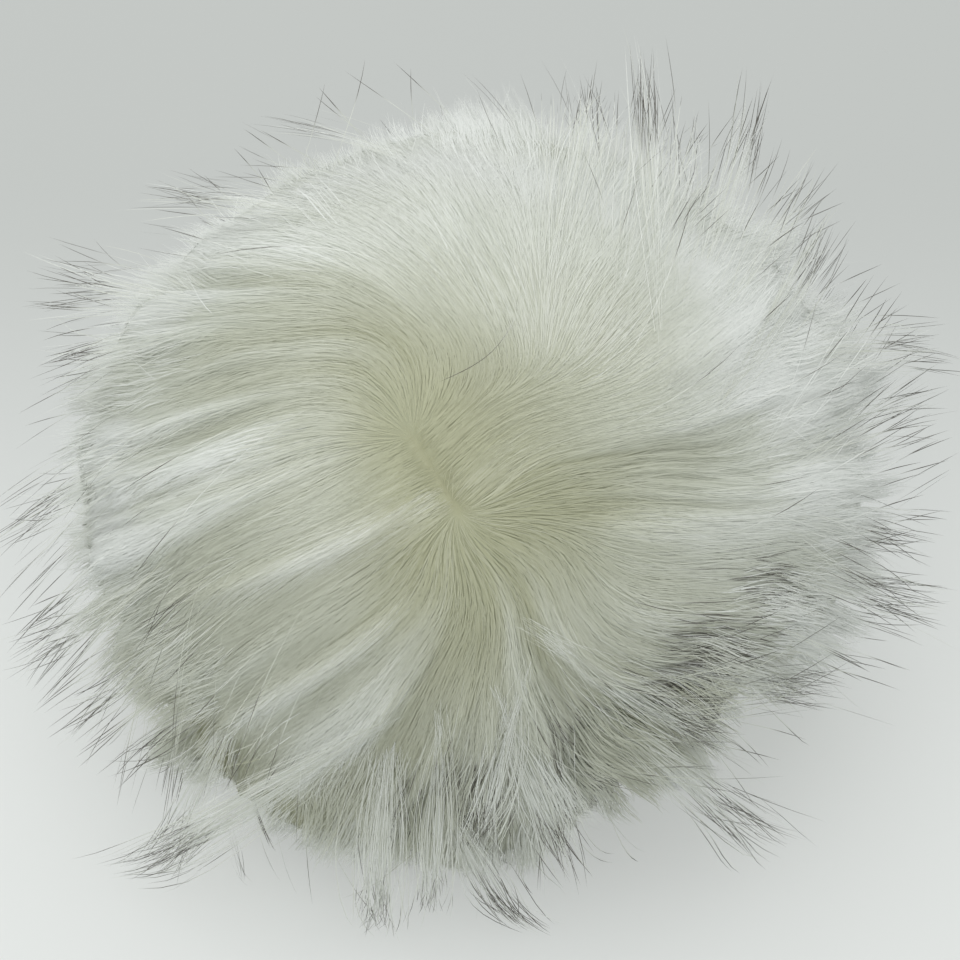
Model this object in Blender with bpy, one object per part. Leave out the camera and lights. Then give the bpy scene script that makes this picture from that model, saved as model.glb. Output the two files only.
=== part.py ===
"""Pom pom of long-pile fur cloth, resting on its flattened underside.

It is one closed body. The dense underfur is a lumpy, slightly squat ball with a small flat
resting spot. The long pile stands off it in curved, tapering, three-sided locks, each grown
out of the ball's own surface, so only the roots are fused. The pile parts at a whorl on the
upper front and sweeps away from it on every side: there the locks are flattened and lie along
the ball, and behind they stand off it. Locks near the floor bend level and lie on it.

Metres, +Z up. The origin is the centre of the resting spot, and the front looks along -Y.
"""

import math
import random

import bmesh
import bpy
from mathutils import Vector, noise

# The ball of dense underfur.
BALL_HALF_WIDTH = 0.054
BALL_HALF_HEIGHT = 0.048
PRESSED_FLAT = 0.003
BALL_SUBDIVISIONS = 3
LUMP_HEIGHT = 0.0024
LUMP_PITCH = 0.032
FRONT_FULLNESS = 0.0034
ROOT_SCATTER = 0.0022

# The locks of long pile.
LOCK_LENGTH = 0.0195
FRONT_EXTRA_LENGTH = 0.0060
WHORL_SHORTNESS = 0.0110
LENGTH_SPREAD = 0.22
LOCK_STEPS = 5
ROOT_GAP = 0.0022
TIP_WIDTH_SHARE = 0.10
FLATTENING = 0.74
LOWEST_ROOT = 0.0075
FLOOR_PILE_HEIGHT = 0.026
FLOOR_PILE_SHARE = 0.80

# How the pile lies. Angles are in degrees.
WHORL_RISE = 46.0
WHORL_EDGE = 34.0
WHORL_SPREAD = 16.0
BEND_AT_ROOT = 0.55
LEAN_AT_FRONT = 65.0
LEAN_AT_BACK = 20.0
FRONT_EDGE = 45.0
BACK_EDGE = 95.0
SWIRL = 21.0
SWIRL_PITCH = 0.028
DROOP = 0.30

# Where the pile stands out past the rest, or falls short, by direction from the ball's centre.
# Columns: name, bearing from +X towards +Y, rise above level, spread (degrees), extra length.
TUFTS = (
    ("crown", 58.0, 45.0, 22.0, 0.0050),
    ("right shoulder", 32.0, 32.0, 18.0, 0.0030),
    ("right flank", 10.0, 12.0, 18.0, 0.0080),
    ("right skirt", -9.0, -10.0, 16.0, 0.0070),
    ("front right wisp", -37.0, -35.0, 12.0, 0.0070),
    ("front foot", -80.0, -46.0, 20.0, 0.0060),
    ("front left wisp", -144.0, -35.0, 14.0, 0.0080),
    ("left flank", 183.0, -4.0, 18.0, 0.0035),
    ("left shoulder", 160.0, 20.0, 20.0, 0.0050),
    ("back", 100.0, -10.0, 24.0, 0.0040),
    ("front right hollow", -58.0, -33.0, 14.0, -0.0060),
    ("right hollow", -20.0, -30.0, 12.0, -0.0050),
)

SEED = 5
CREASE_ANGLE = 50.0
FUR_COLOUR = (0.72, 0.73, 0.62, 1.0)
FUR_ROUGHNESS = 0.75

CENTRE = Vector((0.0, 0.0, BALL_HALF_HEIGHT - PRESSED_FLAT))
DOWN = Vector((0.0, 0.0, -1.0))


def clear_scene():
    for thing in list(bpy.data.objects):
        bpy.data.objects.remove(thing, do_unlink=True)


def direction(bearing, rise):
    """The unit vector at a bearing from +X towards +Y and a rise above level, in degrees."""
    turn = math.radians(bearing)
    lift = math.radians(rise)
    return Vector((math.cos(turn) * math.cos(lift), math.sin(turn) * math.cos(lift), math.sin(lift)))


WHORL = direction(-90.0, WHORL_RISE)


def ease(value):
    """A smooth ramp from 0 to 1."""
    value = min(max(value, 0.0), 1.0)
    return value * value * (3.0 - 2.0 * value)


def smooth_noise(place, pitch):
    """Repeatable noise between about -1 and 1, with features about one pitch across."""
    return noise.noise(place / pitch)


def fur_material():
    material = bpy.data.materials.new("cream_fur")
    material.use_nodes = True
    shader = material.node_tree.nodes["Principled BSDF"]
    shader.inputs["Base Color"].default_value = FUR_COLOUR
    shader.inputs["Roughness"].default_value = FUR_ROUGHNESS
    shader.inputs["Metallic"].default_value = 0.0
    return material


def underfur_ball():
    """The lumpy ball, with its lowest points pressed level on the floor."""
    mesh = bmesh.new()
    bmesh.ops.create_icosphere(mesh, subdivisions=BALL_SUBDIVISIONS, radius=1.0)
    draw = random.Random(SEED)
    size = Vector((BALL_HALF_WIDTH, BALL_HALF_WIDTH, BALL_HALF_HEIGHT))
    for vert in mesh.verts:
        outward = vert.co.normalized()
        place = outward * size
        lump = LUMP_HEIGHT * smooth_noise(place, LUMP_PITCH)
        lump += FRONT_FULLNESS * ease(1.0 - math.degrees(outward.angle(WHORL)) / FRONT_EDGE)
        scatter = Vector([draw.uniform(-1.0, 1.0) for _ in range(3)]) * ROOT_SCATTER
        scatter -= outward * scatter.dot(outward)
        is_pressed = CENTRE.z + place.z < 0.0
        if is_pressed:
            scatter = Vector()
        vert.co = CENTRE + place + outward * lump + scatter
        vert.co.z = 0.0 if is_pressed else max(vert.co.z, 0.0)
    resting_spot = [face for face in mesh.faces if all(vert.co.z == 0.0 for vert in face.verts)]
    bmesh.ops.dissolve_faces(mesh, faces=resting_spot, use_verts=True)
    return mesh


def sweep_direction(outward):
    """The way the pile is combed at a place: away from the whorl, with a little swirl."""
    away = outward * outward.dot(WHORL) - WHORL
    if away.length < 1e-6:
        return outward.orthogonal().normalized()
    away.normalize()
    swirl = math.radians(SWIRL) * smooth_noise(outward * BALL_HALF_WIDTH, SWIRL_PITCH)
    return away * math.cos(swirl) + outward.cross(away) * math.sin(swirl)


def lean(outward):
    """How far the pile leans over from the surface's normal, in radians."""
    angle = math.degrees(outward.angle(WHORL))
    front_to_back = ease((angle - FRONT_EDGE) / (BACK_EDGE - FRONT_EDGE))
    full = LEAN_AT_FRONT + (LEAN_AT_BACK - LEAN_AT_FRONT) * front_to_back
    near_whorl = ease(angle / WHORL_SPREAD)
    near_far_pole = ease((180.0 - angle) / WHORL_SPREAD)
    return math.radians(full * near_whorl * near_far_pole)


def extra_length(outward):
    """How much longer than usual the pile is: in the front, at the whorl, and in each tuft."""
    angle = math.degrees(outward.angle(WHORL))
    extra = FRONT_EXTRA_LENGTH * ease((BACK_EDGE - angle) / (BACK_EDGE - FRONT_EDGE))
    extra -= WHORL_SHORTNESS * ease(1.0 - angle / WHORL_EDGE)
    for _name, bearing, rise, spread, length in TUFTS:
        off = math.degrees(outward.angle(direction(bearing, rise)))
        extra += length * ease(1.0 - off / spread)
    return extra


def lock_path(root, length):
    """The steps of a lock: a point, the way the lock points there, and how much it is flattened."""
    full_lean = lean((root - CENTRE).normalized())
    point = root.copy()
    path = []
    for step in range(1, LOCK_STEPS + 1):
        along = step / LOCK_STEPS
        outward = (point - CENTRE).normalized()
        combed = sweep_direction(outward)
        bend = full_lean * (BEND_AT_ROOT + (1.0 - BEND_AT_ROOT) * math.sin(along * math.pi / 2))
        heading = outward * math.cos(bend) + combed * math.sin(bend)
        heading += DOWN * DROOP * along * along
        heading.normalize()
        point = point + heading * (length / LOCK_STEPS)
        flatness = FLATTENING * math.sin(bend) ** 2 * ease(2.0 * along)
        path.append((point, heading, flatness))
    return path


def width_share(along):
    """A lock's width as a share of its root: broad and leaf-like, then drawn to a point."""
    return (1.0 - along) ** 0.85 + TIP_WIDTH_SHARE * along


def grow_lock(mesh, face, draw):
    """Extrudes one face into a lock and closes it in a point."""
    outward = face.normal.copy()
    root = face.calc_center_median()
    offsets = [vert.co - root for vert in face.verts]
    length = LOCK_LENGTH * (1.0 + LENGTH_SPREAD * draw.uniform(-1.0, 1.0))
    length += extra_length((root - CENTRE).normalized())
    length *= FLOOR_PILE_SHARE + (1.0 - FLOOR_PILE_SHARE) * ease(root.z / FLOOR_PILE_HEIGHT)
    section = face
    for step, (point, heading, flatness) in enumerate(lock_path(root, length), start=1):
        grown = bmesh.ops.extrude_discrete_faces(mesh, faces=[section])
        section = grown["faces"][0]
        turn = outward.rotation_difference(heading)
        share = width_share(step / LOCK_STEPS)
        rise = (point - CENTRE).normalized()
        rise = (rise - heading * rise.dot(heading)).normalized()
        for vert, offset in zip(section.verts, offsets):
            turned = turn @ (offset * share)
            vert.co = point + turned - rise * (turned.dot(rise) * flatness)
        lowest = min(vert.co.z for vert in section.verts)
        if lowest < 0.0:
            for vert in section.verts:
                vert.co.z -= lowest
    bmesh.ops.pointmerge(mesh, verts=section.verts[:], merge_co=section.calc_center_median())


def pom_pom_mesh():
    mesh = underfur_ball()
    mesh.normal_update()
    roots = [face for face in mesh.faces if face.calc_center_median().z > LOWEST_ROOT]
    bmesh.ops.inset_individual(mesh, faces=roots, thickness=ROOT_GAP, use_even_offset=True)
    mesh.normal_update()
    draw = random.Random(SEED)
    for face in roots:
        grow_lock(mesh, face, draw)
    mesh.normal_update()
    return mesh


def build():
    clear_scene()
    collection = bpy.data.collections.new("pom_pom")
    bpy.context.scene.collection.children.link(collection)
    shape = pom_pom_mesh()
    data = bpy.data.meshes.new("fur_ball")
    shape.to_mesh(data)
    shape.free()
    data.materials.append(fur_material())
    data.shade_smooth()
    data.set_sharp_from_angle(angle=math.radians(CREASE_ANGLE))
    ball = bpy.data.objects.new("fur_ball", data)
    collection.objects.link(ball)


build()
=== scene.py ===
"""The looks of a pom pom of long-pile fur cloth, resting on a pale floor.

The pile is grown hair by hair. Every hair roots on the hidden fur cloth, leans the way the pile
is combed, gathers into its lock towards the tip, and settles on the floor where it would hang
lower. The dense inside of the pile is one combed coat, and what lies on it and stands out of it
are flat tapering ribbons joined into a few meshes. Metres, +Z up, front towards -Y. Angles are
in degrees, and the lengths in the tables are in millimetres.
"""

import math

import bmesh
import bpy
import numpy as np
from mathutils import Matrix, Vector


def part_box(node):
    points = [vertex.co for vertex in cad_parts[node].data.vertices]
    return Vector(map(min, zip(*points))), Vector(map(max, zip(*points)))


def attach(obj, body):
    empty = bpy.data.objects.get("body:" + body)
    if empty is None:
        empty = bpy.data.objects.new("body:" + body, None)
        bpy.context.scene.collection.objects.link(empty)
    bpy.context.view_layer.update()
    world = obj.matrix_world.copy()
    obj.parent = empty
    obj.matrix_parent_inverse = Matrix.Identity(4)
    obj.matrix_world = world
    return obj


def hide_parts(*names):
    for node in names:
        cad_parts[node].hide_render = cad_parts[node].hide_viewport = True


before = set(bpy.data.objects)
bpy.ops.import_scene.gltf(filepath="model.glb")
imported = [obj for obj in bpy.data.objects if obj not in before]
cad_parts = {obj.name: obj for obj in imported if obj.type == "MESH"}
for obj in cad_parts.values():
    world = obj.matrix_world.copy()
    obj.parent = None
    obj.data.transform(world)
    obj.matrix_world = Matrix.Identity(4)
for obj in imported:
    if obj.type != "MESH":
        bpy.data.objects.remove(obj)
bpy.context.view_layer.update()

# The share of the hairs that are drawn, and a millimetre.
DRAWN_SHARE = 1.0
MM = 0.001

# The ball and its cloth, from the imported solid's own size.
BALL_LOW, BALL_HIGH = (np.array(corner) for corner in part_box("fur_ball"))
TIP_RADIUS = float(BALL_HIGH[0] - BALL_LOW[0]) / 2
CENTRE = np.array([0.0, 0.0, 0.61 * TIP_RADIUS])
SQUAT = np.array([1.0, 1.0, 0.90])
CLOTH_RADIUS = 0.43 * TIP_RADIUS
FLOOR_LIFT = 0.0001
FLOOR_PILE = 0.010

# How the pile lies.
PHOTO_RISE = 40.0
PARTING_ENDS = ((-0.0089, 0.0121, 0.058), (-0.0016, 0.0, 0.058))
TWIST = 8.0
GRAVITY = 0.30
GRAVITY_FROM, GRAVITY_TO = 35.0, 105.0
FAR_POLE_FROM, FAR_POLE_TO = 125.0, 185.0
RIPPLE = 0.16
RIPPLE_PITCH = 0.090
RIPPLE_SEED = 11
ROOT_LEAN = 8.0
FACE_LEAN = 84.0
BACK_LEAN = 42.0
FACE_EDGE = 45.0
BACK_EDGE = 105.0
RIM_FROM, RIM_TO = 35.0, 75.0
BEND_FROM = 0.66 * TIP_RADIUS
BEND_TO = 0.79 * TIP_RADIUS

# The hairs.
FARTHEST = 0.080
DARK_FROM = 0.78
DARK_BLEND = 0.10
FINE_COUNT = 36000
FINE_LENGTH = 0.0435
FINE_FARTHEST = FARTHEST - 0.004
STRAY_SHARE = 0.04
LOCK_PULLS = (0.22, 0.38)
COMBED_COUNT = 30000
COMBED_LENGTH = 0.026
HOLLOW_COUNT = 100000
HOLLOW_LENGTH = 0.024
GUARD_CLUSTERS = 260
GUARDS_EACH = 11
GUARD_LENGTH = 0.0620
WISP_FULLNESS = 0.8

# The coat: its grid, how dense the pile is that it stands for, and its relief.
COAT_ROWS = 90
COAT_COLUMNS = 240
LAYER = 0.001
LOWEST_LAYER = 0.034
LAYERS = 60
HAIR_COVER = 0.00032
DENSE_AT_FACE, DENSE_AT_BACK = 2.5, 4.5
LOCK_BLUR = 0.0022
COAT_UNDER_HAIRS = 0.0003
FACE_BLUR = 0.006
UNDERFUR_RADIUS = 0.0590
DEEPEST_RADIUS = 0.0530
CREASE_DEPTH = 0.0005
CREASE_WIDTH = 0.9
LIE_RADIUS = 0.060
COMB_RADIUS = 0.058
RIDGE_HEIGHT = 0.0008
RIDGES = ((0.50, 0.9), (0.20, 0.6), (0.09, 0.35))

# Where the pile is longer or shorter than elsewhere: bearing and rise of the spot, its spread,
# and the extra length of its hairs.
TUFTS = (
    # name, bearing, rise, spread, extra length
    ("crown", 58, 45, 18, 6),
    ("right shoulder", 32, 32, 14, 4),
    ("right flank", 10, 12, 14, 1),
    ("right skirt", -9, -10, 12, 7),
    ("front right wisp", -40, -34, 6, 18),
    ("front foot", -90, -40, 16, 16),
    ("front left wisp", -140, -38, 12, 14),
    ("left flank", 183, -4, 14, 5),
    ("left shoulder", 160, 20, 16, 6),
    ("back", 100, -10, 24, -3),
    ("front right hollow", -50, -20, 22, -16),
    ("right hollow", -24, -34, 14, -12),
    ("front left hollow", -121, -38, 12, 8),
    ("left foot", -131, -37, 9, 7),
)

# The way the pile of the face is combed at each spot, in degrees anticlockwise from rightwards,
# by how far right and up of the ball's centre the spot is in the photograph's view.
COMBING = (
    # name, right, up, heading
    ("left brow", -39, 44, 178),
    ("brow", -16, 44, 156),
    ("high brow", -5, 46, 124),
    ("top", 6, 44, 116),
    ("right of top", 18, 46, 68),
    ("high right", 29, 44, 52),
    ("shoulder", 42, 38, 35),
    ("left temple", -45, 32, 182),
    ("inner brow", -24, 32, 170),
    ("over the whorl", -10, 30, 140),
    ("above", 6, 31, 124),
    ("inner right", 18, 32, 52),
    ("right", 32, 26, 38),
    ("outer right", 52, 18, 18),
    ("cheek", -45, 18, 197),
    ("inner cheek", -24, 20, 192),
    ("left flank", -52, 4, 206),
    ("left", -34, 2, 206),
    ("inner left", -18, -1, 204),
    ("low left", -44, -18, 217),
    ("under left", -24, -20, 216),
    ("inner under", -12, -14, 212),
    ("jaw", -35, -34, 224),
    ("chin left", -18, -34, 226),
    ("chin", -4, -26, 242),
    ("throat", -3, -40, 256),
    ("right of chin", 9, -34, 290),
    ("inner low right", 10, -18, 282),
    ("low right", 22, -26, 328),
    ("right skirt", 34, -36, 332),
    ("under right", 34, -22, 354),
    ("right flank", 52, -12, 358),
    ("middle right", 32, -6, 354),
    ("inner middle right", 16, 6, 12),
    ("outer middle right", 52, 4, 14),
    ("left foot", -40, -48, 250),
    ("foot", -16, -50, 258),
)
COMBING_SPREAD = 6.5 * math.sqrt(2.0)
COMBING_FROM, COMBING_TO = 5.0, 22.0

# The long locks of the face, by where they start and end, seen as above. A lock rises over the
# pile beside it, and its paleness is a painted sheen along it.
LOCK_BOW = 0.03
FACE_LOCKS = (
    # name, start right, start up, end right, end up, width, raise, painted sheen
    ("long left", -6, 1, -56, -20, 2.2, 1.6, 0.34),
    ("upper left", -28, 11, -64, 1, 2.4, 1.5, 0.32),
    ("upper left under", -32, 6, -58, -4, 1.6, 0.9, 0.16),
    ("high left", -36, 17, -62, 9, 2.2, 1, 0.22),
    ("left brow", -14, 38, -50, 44, 5, 0.9, 0.16),
    ("left temple", -30, 28, -62, 28, 2.6, 0.9, 0.16),
    ("far left", -50, -6, -66, -16, 1.8, 1, 0.24),
    ("lower left", -6, -14, -42, -38, 2.2, 1.5, 0.3),
    ("under left", -6, -30, -42, -52, 1.6, 1.6, 0.4),
    ("left foot", 2, -28, -14, -58, 1.8, 1.3, 0.22),
    ("front foot", 4, -26, 0, -58, 2, 1.5, 0.24),
    ("right foot", 8, -24, 18, -54, 1.8, 1.3, 0.2),
    ("lower right", 12, -21, 36, -35, 2, 1.2, 0.22),
    ("under right", 18, -16, 56, -20, 2.6, 1, 0.2),
    ("right", 20, -2, 62, 4, 4, 1, 0.18),
    ("upper right", 22, 20, 54, 34, 4, 1, 0.1),
    ("crown", 0, 34, -6, 60, 4, 1, 0.08),
)

# Where the dark-tipped guard hairs end, seen as above, and what share of them is there.
GUARD_ZONES = (
    # name, right, up, spread, share
    ("upper left", -55, 34, 20, 0.5),
    ("crown right", 38, 52, 16, 0.2),
    ("right shoulder", 69, 18, 12, 0.5),
    ("right flank", 66, -13, 12, 0.7),
    ("right skirt", 42, -26, 12, 1.6),
    ("right foot", 26, -40, 10, 1.6),
    ("front foot", 4, -50, 8, 0.8),
    ("left foot", -48, -52, 10, 0.6),
    ("left jaw", -63, -34, 10, 0.6),
    ("left flank", -70, -14, 12, 0.7),
)

# Hollows of the face where dark-tipped hairs lie close together and painted shade darkens the pile, seen as
# above.
DARK_HOLLOWS = (
    # name, right, up, spread, share
    ("flank", 47, -16, 6, 0.25),
    ("skirt high", 38, -25.5, 6, 0.7),
    ("skirt middle", 34, -32.5, 5.5, 0.65),
    ("skirt low", 29, -38.5, 6.5, 0.9),
    ("right foot", 21, -44, 6.5, 0.9),
    ("front foot", 1, -48, 4.5, 0.5),
    ("left of front foot", -10, -52, 4.5, 0.25),
)
HOLLOW_DEPTH = 0.0045
# How much darker the pile is painted low down on the ball: painted shade.
LOW_PAINTED_SHADE = 0.22

# Painted light and shade on the face, seen as above: spots painted nearer to the pile's roots,
# yellower and darker, as painted shade, or nearer to its pale tips, as painted light.
PAINTED_TONES = (
    # name, right, up, spread, painted nearer to the tips, painted paler
    ("right of the whorl", 25, 25, 12.5, -0.25, 0.0),
    ("left of the whorl", -29, 8, 14, 0.17, 0.06),
    ("far right", 58, 16, 15, 0.05, 0.55),
    ("right shoulder", 50, 40, 14, 0.05, 0.45),
    ("right flank", 48, -7, 10, -0.16, -0.05),
    ("right skirt", 40, -25, 11, -0.25, -0.1),
    ("right foot", 30, -39, 13, -0.36, -0.16),
    ("left jaw", -54, -30, 13, -0.2, -0.12),
    ("left foot", -37, -51, 13, -0.38, -0.22),
    ("under the chin", -15, -48, 14, -0.18, -0.06),
)
RIM_ALONG = 0.55

# Narrow wisps that lie on the pile and run out past its edge, seen as above. Depth is how far
# the end is in front of the ball's centre, fan is how wide the hairs stand apart at the end, and
# dark is the dark share of their length.
PALE_SHARE = 0.3
WISPS = (
    # name, start right, start up, end right, end up, depth, width, fan, hairs, dark
    ("front left", -12.6, -40, -15, -74, 12, 2.6, 3, 110, 0.15),
    ("front middle", -4.7, -40, -6.1, -70, 12, 2, 2, 70, 0.12),
    ("front dark", -3, -50, 11, -75, 10, 3, 4, 70, 0.5),
    ("front bent", 7, -33, 0.5, -57, 22, 2.2, 2, 70, 0.2),
    ("front right", 6.1, -36, 17, -62, 18, 2.2, 4, 70, 0.3),
    ("skirt low", 20.6, -34, 51.3, -58, 4, 2.6, 6, 80, 0.35),
    ("skirt middle", 14.5, -24.5, 41, -42, 20, 2.6, 3, 80, 0.2),
    ("skirt high", 29, -27, 60, -31, 6, 2.4, 4, 80, 0.35),
    ("flank low", 48, -12, 77, -20, -6, 4, 4, 70, 0.45),
    ("flank middle", 50, -4, 74, -9, -8, 3, 4, 40, 0.4),
    ("flank high", 50, 6, 77, 16, -12, 4, 5, 50, 0.35),
    ("shoulder", 53, 22, 78, 23.5, -12, 4, 4, 60, 0.35),
    ("crown right low", 42, 19, 58, 44, -2, 3, 4, 60, 0.3),
    ("crown right outer", 40, 30, 56, 54, -10, 4, 5, 40, 0.35),
    ("crown right", 37, 36, 47, 67, -10, 2.6, 3, 50, 0.35),
    ("crown right inner", 33, 34, 37, 60, -8, 3, 5, 20, 0.4),
    ("crown", 29, 33, 27, 74, -10, 2.8, 3, 50, 0.35),
    ("crown middle", 20, 42, 18, 69, -12, 3, 4, 26, 0.35),
    ("crown white", 14, 38, 20, 63, -6, 6, 5, 90, 0.06),
    ("crown white right", 26, 36, 33, 60, -6, 6, 6, 80, 0.08),
    ("crown left", 10, 48, -1, 68, -10, 2, 3, 6, 0.5),
    ("brow", -11, 53, -33, 59, 0, 4, 4, 25, 0.4),
    ("temple", -22, 43, -52, 47, 6, 4, 5, 50, 0.35),
    ("cheek high", -43, 29, -69, 32, 0, 6, 8, 60, 0.35),
    ("cheek low", -45, 24, -68, 18, 0, 5, 6, 60, 0.35),
    ("left", -50, 5, -75, -8, 0, 5, 6, 60, 0.35),
    ("left low", -50, -14, -74, -29, 0, 5, 6, 50, 0.35),
    ("left jaw", -48, -24, -64, -37, 4, 2.4, 5, 30, 0.6),
    ("left hollow", -39, -33, -57, -45, 12, 1.6, 3, 24, 0.7),
    ("left foot long", -20, -40, -57, -62.5, 6, 2.2, 5, 110, 0.22),
    ("left foot", -38, -38, -50, -62, 8, 2.6, 4, 60, 0.3),
    ("left foot hollow", -35, -45, -30, -57, 22, 1.6, 2, 16, 0.7),
    ("floor left", -39, -54, -35, -69, 4, 1, 3, 8, 0.8),
    ("on the left cheek", -35, -11, -54.5, -25, 30, 1.4, 3, 12, 0.7),
    ("on the brow", 8, 27, -6, 14, 64, 0.4, 1, 2, 0.95),
)

# How the ribbons of each kind of hair are drawn.
RIBBONS = {
    # kind: width, its share from root to tip, roll, rounding, share of the coat's own light
    "fine_hair": (0.00011, (0.9, 1.0, 1.0, 0.6, 0.2), 0.30, 0.5, 0.90),
    "combed_hair": (0.00010, (0.5, 1.0, 1.0, 0.7, 0.2), 0.12, 0.5, 0.97),
    "wisps": (0.00010, (0.5, 0.6, 0.7, 1.0, 0.5), 0.30, 0.5, 0.60),
    "hollow_hair": (0.00012, (0.5, 1.0, 1.0, 1.0, 0.4), 0.30, 0.5, 0.80),
    "guard_hair": (0.00012, (0.15, 0.35, 0.7, 1.0, 0.4), 0.30, 0.6, 0.60),
}
SKYWARD = np.array([0.0, 0.0, 0.30])

# The pile's colour by how far along the hair it is, its palest colour, and that of the dark tips.
PILE_COLOURS = (
    # The darkest stop colours the parting, where the roots show, and the painted shade in it.
    (0.06, (0.30, 0.29, 0.15)),
    (0.30, (0.42, 0.43, 0.28)),
    (0.55, (0.545, 0.565, 0.465)),
    (0.82, (0.61, 0.635, 0.56)),
    (1.00, (0.70, 0.72, 0.69)),
)
PALE_COLOUR = (0.78, 0.80, 0.78)
PALE_FROM, MOST_PALE = 0.45, 0.85
TONE_RANGES = (("Shade", 0.92, 1.04), ("Streak", 0.94, 1.04))
TIP_COLOUR = (0.085, 0.078, 0.064)
HAIR_STREAKS = (0.5, 1.6, 97.0)

# The map that carries the pile's colours: across by shade, and up along the hair.
BAKE_MAP = "OFBake"
SHADE_CLASSES = 64

STUDIO_LAMPS = (
    # name, power, width, place
    ("overhead", 3.3, 0.9, (-0.16, 0.04, 0.82)),
    ("front fill", 0.8, 0.9, (-0.20, -0.75, 0.60)),
)
SKY_COLOUR = (0.98, 1.0, 0.98)
SKY_STRENGTH = 0.72
FLOOR_HALF_WIDTH = 1.5
# The floor is painted darker away from the camera, as light falloff, and glows to lift the ball's shadow:
# painted light.
FLOOR_NEAR, FLOOR_FAR = (0.385, 0.396, 0.390), (0.265, 0.275, 0.268)
FLOOR_NEAR_Y, FLOOR_FAR_Y = -0.03, 0.15
FLOOR_PAINTED_GLOW = 0.95
CAMERA_DISTANCE = 0.85
VIEW_WIDTH = 0.1548
VIEW_CENTRE = (10 / 6200, 10 / 6200, 0.0)
SENSOR = 36.0


def unit(vectors):
    return vectors / np.maximum(np.linalg.norm(vectors, axis=-1, keepdims=True), 1e-9)


def ease(value):
    value = np.clip(value, 0.0, 1.0)
    return value * value * (3.0 - 2.0 * value)


def ramp(value, start, end):
    """A smooth ramp from 0 at the start to 1 at the end."""
    return ease((value - start) / (end - start))


def dot(one, other):
    return np.sum(one * other, axis=-1, keepdims=True)


def turned(vectors, axes, angle):
    """Vectors turned about axes at right angles to them."""
    return vectors * np.cos(angle) + np.cross(axes, vectors) * np.sin(angle)


def degrees_from(directions, axis):
    return np.degrees(np.arccos(np.clip(directions @ axis, -1.0, 1.0)))


# The axes of the photograph's view: right, up, and near to the viewer.
LIFT = math.radians(PHOTO_RISE)
RIGHT = np.array([1.0, 0.0, 0.0])
UP = np.array([0.0, math.sin(LIFT), math.cos(LIFT)])
NEAR = np.cross(RIGHT, UP)


def seen_at(right, up, near):
    """The place seen so far right, up and near of the ball's centre."""
    return right * RIGHT + up * UP + near * NEAR


def as_seen(places):
    """How many millimetres right, up and near of the ball's centre each place is seen."""
    return [places @ axis / MM for axis in (RIGHT, UP, NEAR)]


def spots_at(table, places, all_spread=None):
    """For each spot of a table, how near each place is to it, and the spot's own numbers."""
    right, up, _ = as_seen(places)
    for _name, spot_right, spot_up, *numbers in table:
        spread = all_spread or numbers.pop(0)
        yield np.exp(-((right - spot_right) ** 2 + (up - spot_up) ** 2) / spread ** 2), *numbers


def direction(bearing, rise):
    turn, lift = math.radians(bearing), math.radians(rise)
    return np.array([math.cos(turn) * math.cos(lift), math.sin(turn) * math.cos(lift), math.sin(lift)])


PARTING = [unit(seen_at(*end)) for end in PARTING_ENDS]
WHORL = unit(PARTING[0] + PARTING[1])
WHORL_RIGHT = unit(RIGHT - WHORL * (RIGHT @ WHORL))
WHORL_UP = np.cross(WHORL, WHORL_RIGHT)


def from_parting(out):
    """The nearest spot of the parting for each direction, and the angle to it."""
    start, end = PARTING
    span = end - start
    share = np.clip((out - start) @ span / (span @ span), 0.0, 1.0)[:, None]
    source = unit(start + share * span)
    angle = np.degrees(np.arccos(np.clip(dot(out, source), -1.0, 1.0)))
    return source, angle


def even_directions(count, draw, scatter):
    """Directions spread evenly over the ball, each moved a little."""
    golden_angle = math.pi * (3.0 - math.sqrt(5.0))
    index = np.arange(count) + 0.5
    rise = 1.0 - 2.0 * index / count
    turn = index * golden_angle
    flat = np.sqrt(1.0 - rise * rise)
    spots = np.stack([np.cos(turn) * flat, np.sin(turn) * flat, rise], axis=1)
    return unit(spots + draw.normal(size=spots.shape) * scatter * math.sqrt(4.0 / count))


def wave_noise(places, pitch, seed, waves=20):
    """Smooth vector noise, about 1 in size, with features about one pitch across."""
    draw = np.random.default_rng(seed)
    bends = unit(draw.normal(size=(waves, 3))) * draw.uniform(0.6, 1.4, (waves, 1)) * 2.0 * math.pi / pitch
    starts = draw.uniform(0.0, 2.0 * math.pi, waves)
    pushes = draw.normal(size=(waves, 3)) * math.sqrt(2.0 / waves)
    return np.sin(places @ bends.T + starts) @ pushes


def combed_face(out):
    """The way the face is combed at each direction, from the table, and how much it counts."""
    heading = np.zeros((len(out), 2))
    for near, degrees in spots_at(COMBING, out * LIE_RADIUS * SQUAT, COMBING_SPREAD):
        turn = math.radians(degrees)
        heading += (near[:, None] + 1e-9) * np.array([math.cos(turn), math.sin(turn)])
    heading = unit(heading)
    seen = heading[:, :1] * RIGHT + heading[:, 1:] * UP
    front = (out @ NEAR)[:, None]
    lying = unit(seen - NEAR * dot(seen, out) / np.maximum(front, 0.2))
    return lying, ease(front / 0.45)


def flow(places, turn):
    """The way the pile is combed at each place, and how far each place is from the parting."""
    out = unit(places)
    source, angle = from_parting(out)
    away = unit(out * dot(out, source) - source)
    combed = turned(away, out, math.radians(TWIST) + turn) * ramp(angle, FAR_POLE_TO, FAR_POLE_FROM)
    combed = combed + RIPPLE * wave_noise(places, RIPPLE_PITCH, RIPPLE_SEED)
    combed = combed + np.array([0.0, 0.0, -GRAVITY]) * ramp(angle, GRAVITY_FROM, GRAVITY_TO)
    lying, counts = combed_face(out)
    counts = counts * ramp(angle, COMBING_FROM, COMBING_TO)
    combed = unit(combed) + (turned(lying, out, turn) - unit(combed)) * counts
    combed = combed - out * dot(combed, out)
    return unit(combed), angle


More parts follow.
